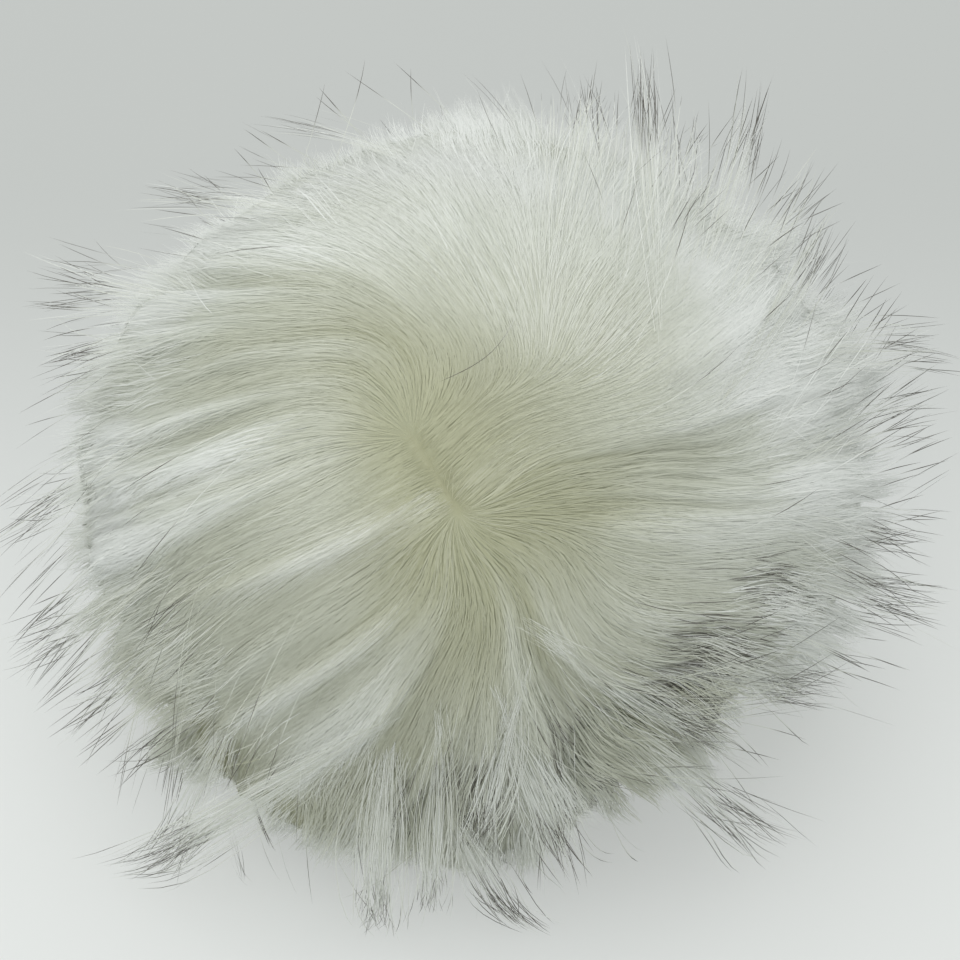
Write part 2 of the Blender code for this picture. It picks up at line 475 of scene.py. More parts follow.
def grow(outward, length, steps, lift, turn):
    """Hair paths from the cloth: steps + 1 points each, in the ball's own round space.

    A hair stands up through the dense pile and bends over, the way it is combed, near the top.
    """
    place = outward * CLOTH_RADIUS
    paths = [place]
    for _ in range(steps):
        combed, angle = flow(place, turn[:, None])
        full = FACE_LEAN + (BACK_LEAN - FACE_LEAN) * ramp(angle, FACE_EDGE, BACK_EDGE)
        bent = ramp(np.linalg.norm(place, axis=1, keepdims=True), BEND_FROM, BEND_TO)
        lean = np.radians(ROOT_LEAN + (full - ROOT_LEAN) * bent + lift[:, None] * bent)
        heading = unit(place) * np.cos(lean) + combed * np.sin(lean)
        place = place + heading * (length[:, None] / steps)
        paths.append(place)
    return np.stack(paths, axis=1)


def sweep(outward, length, steps, turn):
    """Paths over the ball's surface, the way the pile is combed, as directions."""
    place = outward
    paths = [place]
    for _ in range(steps):
        combed, _angle = flow(place * LIE_RADIUS, turn[:, None])
        place = unit(place + combed * (length[:, None] / steps / LIE_RADIUS))
        paths.append(place)
    return np.stack(paths, axis=1)


def settle(places):
    """From round space to the real, squat ball, with what would hang lower laid on the floor."""
    real = places * SQUAT + CENTRE
    depth = FLOOR_PILE - FLOOR_LIFT
    laid = FLOOR_LIFT + depth * np.exp(np.minimum(real[..., 2] - FLOOR_PILE, 0.0) / depth)
    real[..., 2] = np.where(real[..., 2] < FLOOR_PILE, laid, real[..., 2])
    return real


def draw_in(paths, farthest):
    """Shortens the hairs that would reach farther than this from the ball's centre."""
    root = paths[:, :1]
    near = np.linalg.norm(root, axis=-1, keepdims=True)
    far = np.linalg.norm(paths, axis=-1, keepdims=True).max(axis=1, keepdims=True)
    share = np.clip((farthest - near) / np.maximum(far - near, 1e-6), 0.0, 1.0)
    return root + (paths - root) * share


def nearest(spots, centres):
    """For each spot, the number of its nearest centre."""
    owner = np.empty(len(spots), dtype=int)
    block = 4096
    for first in range(0, len(spots), block):
        owner[first:first + block] = np.argmax(spots[first:first + block] @ centres.T, axis=1)
    return owner


def extra_length(outward):
    """How much longer the pile is at each direction, from the table of tufts."""
    extra = np.zeros(len(outward))
    for _name, bearing, rise, spread, length in TUFTS:
        extra += length * np.exp(-((degrees_from(outward, direction(bearing, rise)) / spread) ** 2))
    return extra * MM


def face_locks_at(places):
    """How much the face's long locks raise each place, and how much paler their painted sheen makes it."""
    right, up, near = as_seen(places)
    raised = np.zeros(len(places))
    pale = np.zeros(len(places))
    for _name, right_1, up_1, right_2, up_2, width, rise, painted_paleness in FACE_LOCKS:
        run = np.array([right_2 - right_1, up_2 - up_1])
        length = np.linalg.norm(run)
        run = run / length
        share = ((right - right_1) * run[0] + (up - up_1) * run[1]) / length
        aside = (up - up_1) * run[0] - (right - right_1) * run[1]
        side = 1 if right_2 < right_1 else -1
        bow = side * LOCK_BOW * length * np.sin(np.clip(share, 0.0, 1.3) * math.pi)
        narrow = width * (1.15 - 0.45 * np.clip(share, 0.0, 1.2))
        over = np.exp(-(((aside - bow) / narrow) ** 2)) * ramp(share, 0.0, 0.25) * ramp(share, 1.15, 0.65)
        over = over * (near > 0)
        raised = np.maximum(raised, over * rise * MM)
        pale = np.maximum(pale, over * painted_paleness)
    return raised, pale


def dark_hollows_at(places):
    """How much each place lies in a dark hollow."""
    inside = np.max([near * most for near, most in spots_at(DARK_HOLLOWS, places)], axis=0)
    return inside * (places @ NEAR > 0)


def painted_tones_at(places):
    """How much nearer to its tips and how much paler the pile is painted at each place: painted light and
    shade.
    """
    tones = sum(np.array([near * along, near * pale]) for near, along, pale in spots_at(PAINTED_TONES, places))
    return tones * ramp(places @ NEAR, -0.015, 0.015)


def guards_at(tips):
    """The share of the guard hairs at each tip: a few everywhere, more in the zones."""
    right, up, near = as_seen(tips)
    share = sum((more * close for close, more in spots_at(GUARD_ZONES, tips)), 0.08)
    at_rim = share * ramp(np.hypot(right, up), 45.0, 65.0) + 0.02
    return np.where(near > -45.0, at_rim, 0.55)


def comb_lines(out):
    """For each direction, a spot that is the same all along the line in which the pile is combed."""
    stride, strides = 0.0016, 90
    place = out * COMB_RADIUS
    travelled = np.zeros((len(out), 1))
    for _ in range(strides):
        combed, angle = flow(place, 0.0)
        step = stride * ramp(angle, 4.0, 10.0)
        place = unit(place - combed * step) * COMB_RADIUS
        travelled += step
    source, _angle = from_parting(unit(place))
    side = unit(unit(place) - source)
    bearing = side @ np.stack([WHORL_RIGHT, WHORL_UP], axis=1)
    return np.concatenate([bearing, 0.15 * travelled / COMB_RADIUS], axis=1)


class Locks:
    """The locks that the pile falls into: where each roots, and how it differs."""

    def __init__(self, count, seed, length_spread, lift_spread, turn_spread):
        draw = np.random.default_rng(seed)
        self.outward = even_directions(count, draw, 0.8)
        self.reach = math.sqrt(4.0 / count)
        self.length = 1.0 + length_spread * draw.normal(size=count)
        self.lift = lift_spread * draw.normal(size=count)
        self.turn = np.radians(turn_spread) * draw.normal(size=count)
        self.tone = draw.random(count)


def lock_paths(big, small, length, along):
    """The middle of each big and each small lock, with the small ones drawn to their big ones."""
    steps = along.shape[1] - 1
    big_lengths = length * big.length + extra_length(big.outward)
    big_paths = grow(big.outward, big_lengths, steps, big.lift, big.turn)
    owner = nearest(small.outward, big.outward)
    lengths = length * big.length[owner] * small.length + extra_length(small.outward)
    paths = grow(small.outward, lengths, steps, big.lift[owner] + small.lift, big.turn[owner] + small.turn)
    return big_paths, paths + (big_paths[owner] - paths) * LOCK_PULLS[0] * along ** 1.3


class Hairs:
    """Hairs of one kind: their paths and lengths, how far along each spot is, and their shades."""

    def rungs(self):
        """The share of the way along at each of a path's points."""
        return np.linspace(0.0, 1.0, self.steps + 1)[None, :, None]

    def keep(self, chosen):
        self.paths, self.lengths = self.paths[chosen], self.lengths[chosen]
        self.along, self.shade = self.along[chosen], self.shade[chosen]

    def trim(self, coat, under, points, shortest, paler=0.0):
        """Keeps each hair from where it leaves the coat, and drops those that hardly show."""
        height = np.linalg.norm(self.paths, axis=-1) - coat.look(coat.height, self.paths)
        last = self.paths.shape[1] - 1
        start = np.where(height < -under, np.arange(last + 1)[None, :], 0).max(axis=1).astype(float)
        shows = (last - start) / last * self.lengths > shortest
        self.keep(shows)
        start = start[shows]
        spots = start[:, None] + (last - start)[:, None] * np.linspace(0, 1, points)[None, :]
        low = np.minimum(spots.astype(int), last - 1)
        part = (spots - low)[..., None]
        row = np.arange(len(start))[:, None]
        self.paths = self.paths[row, low] * (1 - part) + self.paths[row, low + 1] * part
        self.along = spots / last
        # The coat's painted sheen and shade, and any painted light given, make each hair paler or darker.
        pale = coat.look(coat.painted_paleness, self.paths)[:, points // 2] + paler
        self.shade = np.clip(self.shade + pale, 0.0, 1.0)

    def widths(self, width, taper):
        """The width at each point, from its share at even steps from root to tip."""
        stops = np.linspace(0, 1, len(taper))
        share = np.interp(np.linspace(0, 1, self.paths.shape[1]), stops, taper)
        return width * share[None, :] * self.draw.uniform(0.7, 1.3, (len(self.paths), 1))


class FineHairs(Hairs):
    """The dense fine hairs, grown and gathered into the locks."""

    steps = 12

    def __init__(self, seed, big, small):
        self.draw = draw = np.random.default_rng(seed)
        outward = self.roots(draw)
        count = len(outward)
        in_big = nearest(outward, big.outward)
        in_small = nearest(outward, small.outward)
        rim = ramp(from_parting(outward)[1], RIM_FROM, RIM_TO)
        aside = np.arccos(np.clip(np.sum(outward * small.outward[in_small], axis=1), -1.0, 1.0))
        pointed = 1.0 + rim[:, 0] * (0.06 - 0.20 * np.clip(aside / small.reach, 0.0, 1.2) ** 2)
        lengths = FINE_LENGTH * big.length[in_big] * small.length[in_small]
        lengths = lengths * pointed * (1.0 - 0.14 * np.abs(draw.normal(size=count)))
        self.lengths = np.maximum(lengths, 0.45 * FINE_LENGTH) + extra_length(outward)
        stray = draw.random(count) < STRAY_SHARE
        lift = big.lift[in_big] + small.lift[in_small] + np.where(stray, 14.0, 2.5) * draw.normal(size=count)
        turn = big.turn[in_big] + small.turn[in_small] + np.where(stray, 0.5, 0.05) * draw.normal(size=count)
        paths = grow(outward, self.lengths, self.steps, lift, turn)
        along = self.rungs()
        big_paths, small_paths = lock_paths(big, small, FINE_LENGTH, along)
        calm = np.where(stray, 0.15, 1.0)[:, None, None]
        parted = (0.45 + 0.55 * rim)[:, :, None]
        paths = paths + (big_paths[in_big] - paths) * LOCK_PULLS[0] * along ** 1.3 * calm
        paths = paths + (small_paths[in_small] - paths) * LOCK_PULLS[1] * along ** 1.6 * calm * parted
        paths = paths + wave_noise(paths.reshape(-1, 3), 0.013, seed).reshape(paths.shape) * 0.0004 * along
        self.paths = draw_in(paths, FINE_FARTHEST)
        self.along = np.broadcast_to(along[..., 0], paths.shape[:2])
        self.shade = 0.30 * big.tone[in_big] + 0.25 * small.tone[in_small] + 0.25 * draw.random(count) + 0.15

    @staticmethod
    def roots(draw):
        """Where the hairs root: evenly over the cloth, and sparsely underneath."""
        outward = even_directions(int(int(FINE_COUNT * DRAWN_SHARE) * 1.2), draw, 0.9)
        wanted = 1.0 - 0.8 * ramp(outward[:, 2], -0.60, -0.80)
        return outward[draw.random(len(outward)) < wanted]

    def leave_rim(self, coat):
        """Leaves what stands out of the coat at the rim and behind, paler with painted light, and darker low
        down with painted shade.
        """
        tip_angle = degrees_from(unit(self.paths[:, -1]), WHORL)
        self.keep(tip_angle > 58.0 + 20.0 * self.draw.random(len(self.paths)))
        # The rim's fine hairs are painted paler: painted light for the light that shines through them.
        self.trim(coat, under=0.0010, points=7, shortest=0.008, paler=0.24)
        # Darker low down and in the toned spots: painted shade and painted light from the coat.
        self.along = 0.30 + 0.70 * self.along - 0.8 * coat.look(coat.painted_darkening, self.paths)


class CombedHairs(Hairs):
    """Hairs that lie along the coat and rise from it a little towards their tips."""

    steps = 5

    def __init__(self, count, seed, length, coat, locks, pull, rise, least_rise):
        self.draw = draw = np.random.default_rng(seed)
        outward = self.roots(int(count * DRAWN_SHARE), draw)
        count = len(outward)
        lock = nearest(outward, locks.outward)
        angle = from_parting(outward)[1][:, 0]
        lengths = length * np.clip(1.0 + 0.28 * draw.normal(size=count), 0.4, 1.7)
        lengths = lengths * (0.6 + 0.4 * ease(angle / 25.0))
        paths = sweep(outward, lengths, self.steps, 0.5 * locks.turn[lock] + 0.07 * draw.normal(size=count))
        middle = sweep(locks.outward, np.full(len(locks.outward), length), self.steps, 0.5 * locks.turn)[lock]
        along = self.rungs()
        heading = unit(np.gradient(middle, axis=1))
        aside = middle - paths
        aside = aside - heading * dot(aside, heading)
        paths = unit(paths + aside * pull * along ** 1.5 * ease(angle / 30.0)[:, None, None])
        lift = rise * draw.random(count) ** 5 + least_rise
        sunk = 0.0003 * ease(angle / 14.0)[:, None, None] * (1.0 - along) ** 6
        lift = lift[:, None, None] * along ** 1.5 + 0.0001 - sunk
        self.paths = paths * (coat.look(coat.height, paths)[..., None] + lift)
        shade = 0.18 * locks.tone[lock] + 0.12 * draw.random(count) + 0.32
        # The coat's painted sheen and shade carry over to the hairs that lie on it.
        pale = coat.look(coat.painted_paleness, self.paths)[:, self.steps // 2]
        self.shade = np.clip(shade + pale, 0.0, 1.0)
        self.along = coat.look(coat.along, self.paths) + 0.10 * (along[..., 0] - 0.5)
        self.lengths = lengths

    @staticmethod
    def roots(count, draw):
        """Where the hairs root: over the face and the rim, and closest round the whorl."""
        outward = even_directions(3 * count, draw, 0.9)
        angle = degrees_from(outward, WHORL)
        wanted = (1.0 - ramp(angle, 80.0, 112.0)) * (1.0 + 2.0 * np.exp(-((angle / 15.0) ** 2))) / 3.0
        return outward[draw.random(3 * count) < wanted]


class HollowHairs(CombedHairs):
    """The dark-tipped hairs that lie close together in the hollows; their dark tips stand partly for the
    hollows' shade.
    """

    def __init__(self, coat, locks):
        super().__init__(HOLLOW_COUNT, 71, HOLLOW_LENGTH, coat, locks,
                         pull=0.3, rise=0.0016, least_rise=0.0005)
        inside = dark_hollows_at(settle(self.paths[:, -2]) - CENTRE)
        self.along = np.broadcast_to(0.55 + 0.45 * self.rungs()[..., 0], self.paths.shape[:2])
        self.keep(self.draw.random(len(self.paths)) < 1.1 * inside)


class GuardHairs(Hairs):
    """Long dark-tipped hairs in small clusters, that stand out of the pile all round the rim."""

    steps = 12

    def __init__(self, big):
        self.draw = draw = np.random.default_rng(41)
        centres = even_directions(GUARD_CLUSTERS, draw, 1.0)
        centres = centres[centres[:, 2] > -0.55]
        in_big = nearest(centres, big.outward)
        lift = big.lift[in_big] + 4.0 * draw.normal(size=len(centres)) - 6.0
        turn = big.turn[in_big] + 0.30 + 0.25 * draw.normal(size=len(centres))
        reach = GUARD_LENGTH * (1.0 + 0.06 * draw.normal(size=len(centres))) + extra_length(centres)
        middle = grow(centres, reach, self.steps, lift, turn)
        share = guards_at(settle(middle[:, -1]) - CENTRE)
        count = np.round(GUARDS_EACH * DRAWN_SHARE * share * draw.uniform(0.3, 1.7, len(centres))).astype(int)
        row = np.repeat(np.arange(len(centres)), count)
        outward = unit(centres[row] + 0.07 * draw.normal(size=(len(row), 3)))
        self.lengths = reach[row] * (1.0 + 0.07 * draw.normal(size=len(row)))
        paths = grow(outward, self.lengths, self.steps, lift[row] + 5.0 * draw.normal(size=len(row)),
                     turn[row] + 0.12 * draw.normal(size=len(row)))
        along = self.rungs()
        paths = paths + (middle[row] - paths) * 0.50 * along ** 1.2
        self.paths = draw_in(paths, FARTHEST * (1.0 - 0.04 * draw.random((len(row), 1, 1))))
        self.shade = 0.35 + 0.25 * draw.random(len(row))
        dark = draw.uniform(-0.04, 0.10, (len(row), 1))
        self.along = along[..., 0] + dark * np.clip(along[..., 0] - 0.5, 0.0, 0.5)


class WispHairs(Hairs):
    """The wisps: each starts on the coat, draws together, and fans out past the pile's edge."""

    steps = 9

    def __init__(self, coat):
        self.draw = np.random.default_rng(51)
        wisps = [self.wisp(coat, *row[1:]) for row in WISPS]
        self.paths, self.along = (np.concatenate(part) for part in zip(*wisps))
        self.shade = 0.60 + 0.35 * self.draw.random(len(self.paths))
        self.lengths = np.linalg.norm(self.paths[:, -1] - self.paths[:, 0], axis=1)

    def wisp(self, coat, right_1, up_1, right_2, up_2, depth, width, fan, hairs, dark):
        """The paths of one wisp's hairs, and how far along they are."""
        draw, along = self.draw, self.rungs()
        count = max(int(WISP_FULLNESS * hairs * DRAWN_SHARE), 1)
        start = coat.point_seen_at(right_1, up_1)
        end = seen_at(right_2, up_2, depth) * MM / SQUAT
        middle = 0.5 * (start + end)
        rise = coat.look(coat.height, middle[None])[0] + 0.003 - np.linalg.norm(middle)
        middle = middle + unit(middle) * max(rise, 0.001) * 1.6
        late = draw.uniform(-0.25, 0.15, (count, 1, 1))
        share = late + (1.0 - late - 0.30 * draw.random((count, 1, 1))) * along
        line = start * (1 - share) ** 2 + 2 * middle * share * (1 - share) + end * share ** 2
        out = unit(middle)
        side = unit(np.cross(unit(end - start), out))
        spread = (0.30 * width + 0.52 * fan * np.clip(share, 0.0, 1.0) ** 1.6) * MM
        off = draw.normal(size=(count, 1, 2)) + 0.30 * draw.normal(size=(count, 1, 2)) * along ** 2
        line = line + spread * (side * off[..., :1] + 0.5 * out * np.abs(off[..., 1:]))
        bend = 0.0016 * draw.normal(size=(count, 1, 1)) * np.sin(along * math.pi)
        tip = np.where(draw.random((count, 1)) < PALE_SHARE, 0.75, 1.0)
        darker = np.interp(along[..., 0], (0.0, 1.0 - 1.2 * dark, 1.0), (0.60, DARK_FROM, 1.0))
        return line + side * bend, np.minimum(darker, tip)


class Coat:
    """The surface that the dense inside of the pile reaches, on a grid round the whorl."""

    def __init__(self, groups):
        self.angles = (np.arange(COAT_ROWS) + 0.5) * math.pi / COAT_ROWS
        self.out = self.outward()
        self.angle = from_parting(self.out.reshape(-1, 3))[1].reshape(COAT_ROWS, COAT_COLUMNS)
        levels = LOWEST_LAYER + LAYER * (np.arange(LAYERS) + 0.5)
        cover, alongs = self.covers(groups, levels)
        self.height = self.dense_height(cover)
        self.shape_face()
        near = np.exp(-((levels[None, None, :] - self.height[..., None]) / 0.002) ** 2)
        grown = (alongs * near).sum(-1) / np.maximum((cover * near).sum(-1), 1e-9)
        self.colour_face(self.blur(grown, 0.002))
        self.normal = self.normals()

    def outward(self):
        """The direction of each cell's middle."""
        bearing = (np.arange(COAT_COLUMNS) + 0.5) * 2.0 * math.pi / COAT_COLUMNS
        ring = np.cos(bearing)[:, None] * WHORL_RIGHT + np.sin(bearing)[:, None] * WHORL_UP
        return np.cos(self.angles)[:, None, None] * WHORL + np.sin(self.angles)[:, None, None] * ring[None]

    def covers(self, groups, levels):
        """How much hair lies in each cell's layers, and the same times how far along it is."""
        places = np.concatenate([group.paths[:, 1:].reshape(-1, 3) for group in groups])
        along = np.concatenate([group.along[:, 1:].ravel() for group in groups])
        area = np.concatenate([np.repeat(group.lengths * HAIR_COVER / group.steps, group.steps)
                               for group in groups])
        row, column = self.cells(places)
        row, column = row.astype(int) % COAT_ROWS, column.astype(int) % COAT_COLUMNS
        layer = np.clip((np.linalg.norm(places, axis=1) - LOWEST_LAYER) / LAYER, 0, LAYERS - 1).astype(int)
        slot = (row * COAT_COLUMNS + column) * LAYERS + layer
        shape = (COAT_ROWS, COAT_COLUMNS, LAYERS)
        spread = 2.0 * math.pi / COAT_COLUMNS * math.pi / COAT_ROWS * np.sin(self.angles)
        cell_area = spread[:, None, None] * levels[None, None, :] ** 2
        return [self.blur(np.bincount(slot, weight, math.prod(shape)).reshape(shape), LOCK_BLUR) / cell_area
                for weight in (area, area * along)]

    def dense_height(self, cover):
        """How high the pile is dense, counted from its outside inwards."""
        above = np.cumsum(cover[..., ::-1], axis=-1)[..., ::-1]
        dense = DENSE_AT_FACE + (DENSE_AT_BACK - DENSE_AT_FACE) * ramp(self.angles, 0.7, 1.6)
        full = np.clip(above / dense[:, None, None], 0.0, 1.0) ** 8
        return self.blur(LOWEST_LAYER + LAYER * full.sum(axis=-1), 0.6 * LOCK_BLUR)

    def shape_face(self):
        """Smooths the face, fills it over the whorl, and raises the long locks that lie on it."""
        out = self.out.reshape(-1, 3)
        smooth = self.height
        for _ in range(6):
            smooth = self.blur(smooth, FACE_BLUR)
        height = smooth + (self.height - smooth) * (0.20 + 0.32 * ramp(self.angle, 70.0, 110.0))
        fill = UNDERFUR_RADIUS + (DEEPEST_RADIUS - UNDERFUR_RADIUS) * ramp(self.angle, 20.0, 65.0)
        height = 0.5 * (height + fill + np.sqrt((height - fill) ** 2 + 0.0030 ** 2)) - 0.0010
        lines = comb_lines(out)
        ridges = sum(share * wave_noise(lines, pitch, 70 + number)[:, 0]
                     for number, (pitch, share) in enumerate(RIDGES))
        ridges = np.clip(ridges.reshape(self.angle.shape), -1.6, 1.6)
        self.ridges = ridges * RIDGE_HEIGHT * ramp(self.angle, 6.0, 36.0)
        raised, pale = face_locks_at(out * LIE_RADIUS)
        places = settle(out * LIE_RADIUS) - CENTRE
        inside = dark_hollows_at(places)
        # The painted tones: painted shade darkens spots low down, and painted light makes the right rim
        # paler.
        painted_along, paler = painted_tones_at(places)
        # Painted shade: the dark hollows sink and are painted less pale.
        raised, pale = raised - HOLLOW_DEPTH * inside, pale - 0.5 * inside + paler
        self.painted_along = painted_along.reshape(self.angle.shape)
        # Painted sheen on the comb's ridges and painted shade in the furrows, added to the locks' painted
        # sheen, the hollows' painted shade and the painted tones.
        self.painted_paleness = 0.16 * self.ridges / RIDGE_HEIGHT + pale.reshape(self.angle.shape)
        crease = CREASE_DEPTH * np.exp(-((self.angle / CREASE_WIDTH) ** 2))
        self.height = height + self.ridges + raised.reshape(self.angle.shape) - crease

    def colour_face(self, grown):
        """How far along the hair the pile shows: by rule over the face, and as grown behind it, with painted
        light and shade added.
        """
        # Nearer the tips on the comb's ridges and nearer the roots in its furrows: painted sheen and painted
        # shade.
        face = 0.32 + 0.64 * ease(self.angle / FACE_EDGE / 1.6) + 0.08 * self.ridges / RIDGE_HEIGHT
        # Darker along the parting, where the roots show, with painted shade in the crease.
        face = face - 0.12 * np.exp(-((self.angle / 1.4) ** 2))
        # Painted shade that darkens the pile low down, less the painted tones.
        self.painted_darkening = LOW_PAINTED_SHADE * ramp(self.out[..., 2], 0.1, -0.4) - self.painted_along
        grown = np.maximum(grown, RIM_ALONG)
        self.along = face + (grown - face) * ramp(self.angle, 55.0, 85.0) - self.painted_darkening

    def normals(self):
        real = settle(self.out * self.height[..., None])
        down = np.gradient(real, axis=0)
        side = np.roll(real, -1, axis=1) - np.roll(real, 1, axis=1)
        normal = unit(np.cross(down, side))
        return np.where(dot(normal, self.out) < 0, -normal, normal)

    def point_seen_at(self, right, up):
        """The place on the coat that is seen so many millimetres right and up of its centre."""
        low, high = 0.0, 90.0
        for _ in range(24):
            near = 0.5 * (low + high)
            place = seen_at(right, up, near) * MM / SQUAT
            is_outside = np.linalg.norm(place) > self.look(self.height, place[None])[0]
            low, high = (low, near) if is_outside else (near, high)
        return place

    @staticmethod
    def cells(places):
        """The row and column of each place, with the part of a cell past it."""
        out = unit(places)
        far = np.arccos(np.clip(out @ WHORL, -1.0, 1.0))
        bearing = np.arctan2(out @ WHORL_UP, out @ WHORL_RIGHT) % (2.0 * math.pi)
        return far / math.pi * COAT_ROWS, bearing / (2.0 * math.pi) * COAT_COLUMNS

    def blur(self, grid, across):
        """Blurs a grid by the same real width at every row, and three cells along the comb."""
        wave = np.arange(COAT_COLUMNS // 2 + 1)
        width = across / (COMB_RADIUS * np.sin(self.angles))
        fade = np.exp(-0.5 * (wave[None, :] * width[:, None]) ** 2)
        fade = fade.reshape(fade.shape + (1,) * (grid.ndim - 2))
        grid = np.fft.irfft(np.fft.rfft(grid, axis=1) * fade, COAT_COLUMNS, axis=1)
        for _ in range(3):
            wider = np.concatenate([grid[:1], grid, grid[-1:]])
            grid = 0.25 * wider[:-2] + 0.5 * wider[1:-1] + 0.25 * wider[2:]
        return grid

    def look(self, grid, places):
        """The grid's value at each place, between its four nearest cells."""
        row, column = self.cells(places)
        row = np.clip(row - 0.5, 0.0, COAT_ROWS - 1.001)
        column = (column - 0.5) % COAT_COLUMNS
        low, left = row.astype(int), column.astype(int) % COAT_COLUMNS
        right = (left + 1) % COAT_COLUMNS
        down, side = row - low, column - np.floor(column)
        if grid.ndim == 3:
            down, side = down[..., None], side[..., None]
        top = grid[low, left] * (1 - side) + grid[low, right] * side
        bottom = grid[low + 1, left] * (1 - side) + grid[low + 1, right] * side
        return top * (1 - down) + bottom * down


def add_object(name, data):
    thing = bpy.data.objects.new(name, data)
    bpy.context.scene.collection.objects.link(thing)
    return thing


def add_piece(name, mesh, material):
    """Puts a finished mesh in the scene in place of the plain solid."""
    mesh.shade_smooth()
    mesh.materials.append(material)
    piece = add_object(name, mesh)
    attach(piece, "root")
    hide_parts("fur_ball")
    return piece


def set_values(mesh, **columns):
    """Gives each of a mesh's points these values and vectors, by name."""
    for name, values in columns.items():
        kind, field = ("FLOAT", "value") if values.ndim == 1 else ("FLOAT_VECTOR", "vector")
        column = mesh.attributes.new(name, kind, "POINT").data
        column.foreach_set(field, values.astype(np.float32).ravel())


def in_pairs(left, right):
    """Both edges' values of each ribbon in turn, and one at its tip."""
    count, points = left.shape[:2]
    return np.stack([left, right], axis=2).reshape(count, points * 2, 3)[:, :-1]


def ribbon_shape(paths, out, widths, roll, rounding, coat_share):
    """The corners of the ribbons along the paths, and normals that make each look round."""
    tangent = unit(np.gradient(paths, axis=1))
    side = unit(np.cross(tangent, out) + 1e-6)
    face = np.cross(side, tangent)
    across = side * np.cos(roll) + face * np.sin(roll)
    normal = np.cross(across, tangent)
    normal = np.where(dot(normal, out) < 0.0, -normal, normal)
    half = across * (widths[..., None] * 0.5)
    corners = in_pairs(paths - half, paths + half)
    corners[:, -1] = paths[:, -1]
    corners = corners.reshape(-1, 3)
    corners[:, 2] = np.maximum(corners[:, 2], FLOOR_LIFT / 2)
    left, right = (unit((1 - coat_share) * unit(normal + across * rounding * way) + coat_share * out)
                   for way in (-1, 1))
    return corners, in_pairs(left, right).reshape(-1, 3)


def ribbon_faces(count, points, corners, normals):
    """The four-sided faces of the ribbons and the triangles at their tips, all facing outwards."""
    first = np.arange(count)[:, None] * (points * 2 - 1)
    rungs = first + np.arange(points - 2)[None, :] * 2
    quads = rungs.reshape(-1, 1) + np.array([[0, 1, 3, 2]])
    tips = first + points * 2 - 4 + np.array([[0, 1, 2]])
    for faces in (quads, tips):
        one, two, three = (faces[:, corner] for corner in range(3))
        turn = np.cross(corners[two] - corners[one], corners[three] - corners[one])
        flip = dot(turn, normals[one] + normals[two])[:, 0] < 0.0
        faces[flip] = faces[flip][:, ::-1]
    return quads, tips


def mesh_from(name, corners, quads, tips):
    """A mesh of these faces, and the corner that each of its loops uses."""
    loops = np.concatenate([quads.ravel(), tips.ravel()]).astype(np.int32)
    starts = np.concatenate([np.arange(len(quads)) * 4, len(quads) * 4 + np.arange(len(tips)) * 3])
    mesh = bpy.data.meshes.new(name)
    for parts, field, values in ((mesh.vertices, "co", corners.astype(np.float32)),
                                 (mesh.loops, "vertex_index", loops),
                                 (mesh.polygons, "loop_start", starts.astype(np.int32))):
        parts.add(len(values))
        parts.foreach_set(field, values.ravel())
    mesh.update(calc_edges=True)
    return mesh, loops


def add_ribbons(name, kind, hairs, coat, material):
    """One piece of flat ribbons along the hairs. Fine hair lets light through: it casts no shadow."""
    width, taper, roll_spread, rounding, coat_share = RIBBONS[kind]
    widths = hairs.widths(width, taper)
    roll = (hairs.draw.normal(size=len(hairs.paths)) * roll_spread)[:, None, None]
    count, points, _ = hairs.paths.shape
    out = unit(coat.look(coat.normal, hairs.paths) + SKYWARD)
    corners, normals = ribbon_shape(settle(hairs.paths), out, widths, roll, rounding, coat_share)
    quads, tips = ribbon_faces(count, points, corners, normals)
    mesh, loops = mesh_from(name, corners, quads, tips)
    along = np.repeat(hairs.along, 2, axis=1)[:, :-1].ravel()
    across = np.tile([-1.0, 1.0] * (points - 1) + [0.0], count)
    shade_class = np.repeat(np.floor(hairs.shade * SHADE_CLASSES * 0.999), points * 2 - 1)
    place = np.stack([(shade_class + (across + 1.0) * 0.45) / SHADE_CLASSES,
                      0.01 + 0.98 * np.clip(along, 0.0, 1.0)], axis=1)
    mesh.uv_layers.new(name=BAKE_MAP).uv.foreach_set("vector", place[loops].astype(np.float32).ravel())
    set_values(mesh, along=along, across=across, shade=(shade_class + 0.5) / SHADE_CLASSES)
    piece = add_piece(name, mesh, material)
    mesh.normals_split_custom_set_from_vertices(normals.astype(np.float32))
    piece.visible_shadow = False


def add_coat(coat, material):
    """The combed coat: a ball with its poles on the whorl, moved out to just under the hairs."""
    shape = bmesh.new()
    shape.loops.layers.uv.new(BAKE_MAP)
    bmesh.ops.create_uvsphere(shape, u_segments=240, v_segments=100, radius=1.0, calc_uvs=True)
    spots = np.array([vert.co[:] for vert in shape.verts])
    out = spots[:, :1] * WHORL_RIGHT + spots[:, 1:2] * WHORL_UP + spots[:, 2:] * WHORL
    height = coat.look(coat.height, out) - COAT_UNDER_HAIRS
    for vert, place in zip(shape.verts, settle(out * height[:, None])):
        vert.co = place
    mesh = bpy.data.meshes.new("underfur_coat")
    shape.to_mesh(mesh)
    shape.free()
    # The coat's shade value carries its painted sheen and shade.
    shade = np.clip(coat.look(coat.painted_paleness, out) + 0.5, 0, 1)
    set_values(mesh, along=coat.look(coat.along, out), shade=shade, comb=comb_lines(out))
    piece = add_piece("underfur_coat", mesh, material)


def feed(tree, socket, value):
    """Links a value to a socket, or sets the socket to a plain number, place or colour."""
    if isinstance(value, bpy.types.NodeSocket):
        tree.links.new(value, socket)
    else:
        socket.default_value = (*value, 1.0) if socket.type == "RGBA" else value


